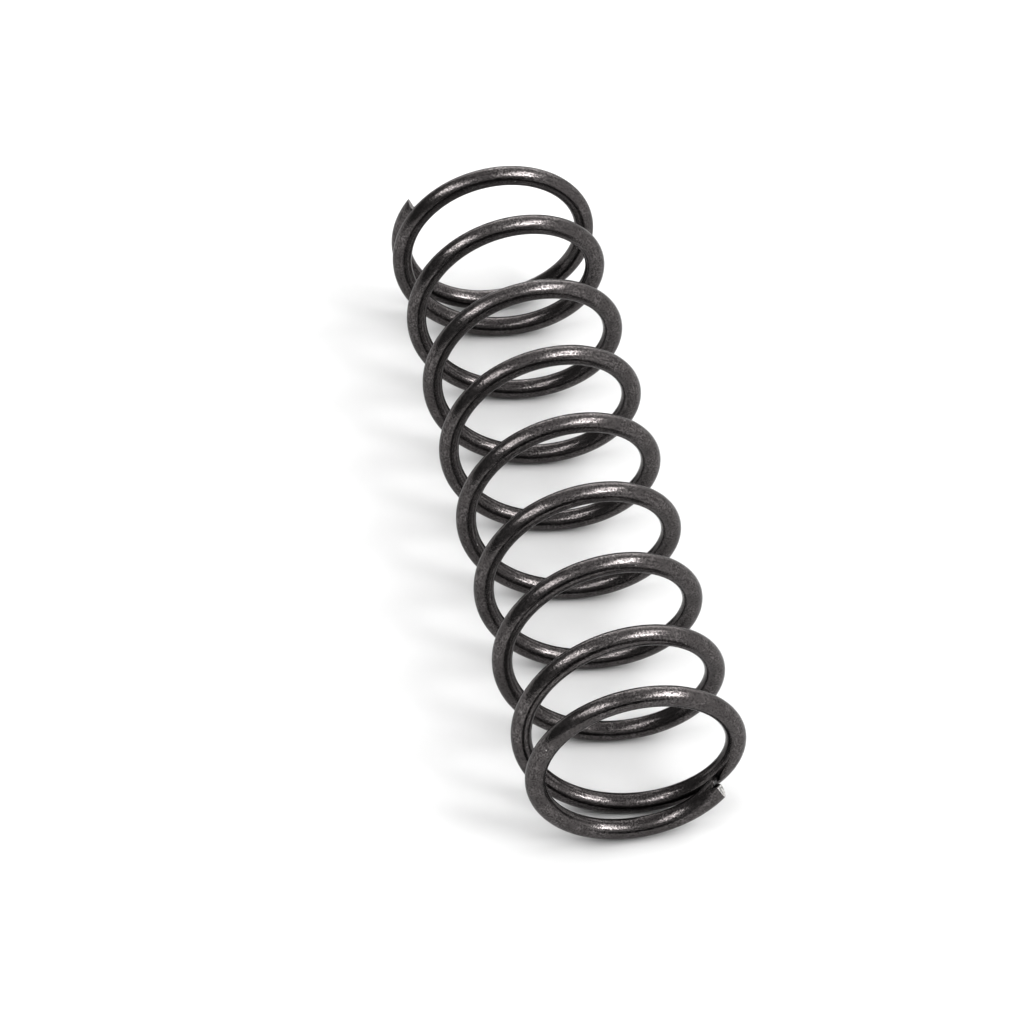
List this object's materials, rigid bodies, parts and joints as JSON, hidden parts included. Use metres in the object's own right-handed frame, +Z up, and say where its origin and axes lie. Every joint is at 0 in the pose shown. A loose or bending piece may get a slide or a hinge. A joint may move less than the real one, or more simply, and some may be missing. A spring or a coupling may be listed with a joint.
{
  "type": "compression spring",
  "caption": "Right-hand helical compression spring of round wire, with closed unground ends and sheared wire ends.",
  "frame": {"origin": "on the floor below the middle of the spring, which lies on its side", "axes": "+Y along the coil axis from the near end to the far end, +Z up, +X to the right seen from the near end"},
  "size_m": [0.022, 0.0748, 0.022],
  "materials": {
    "steel_wire": "dark oiled drawn spring wire, satin, with bare metal on the sheared ends"
  },
  "bodies": {
    "root": {"spring": "steel_wire"}
  },
  "joints": []
}
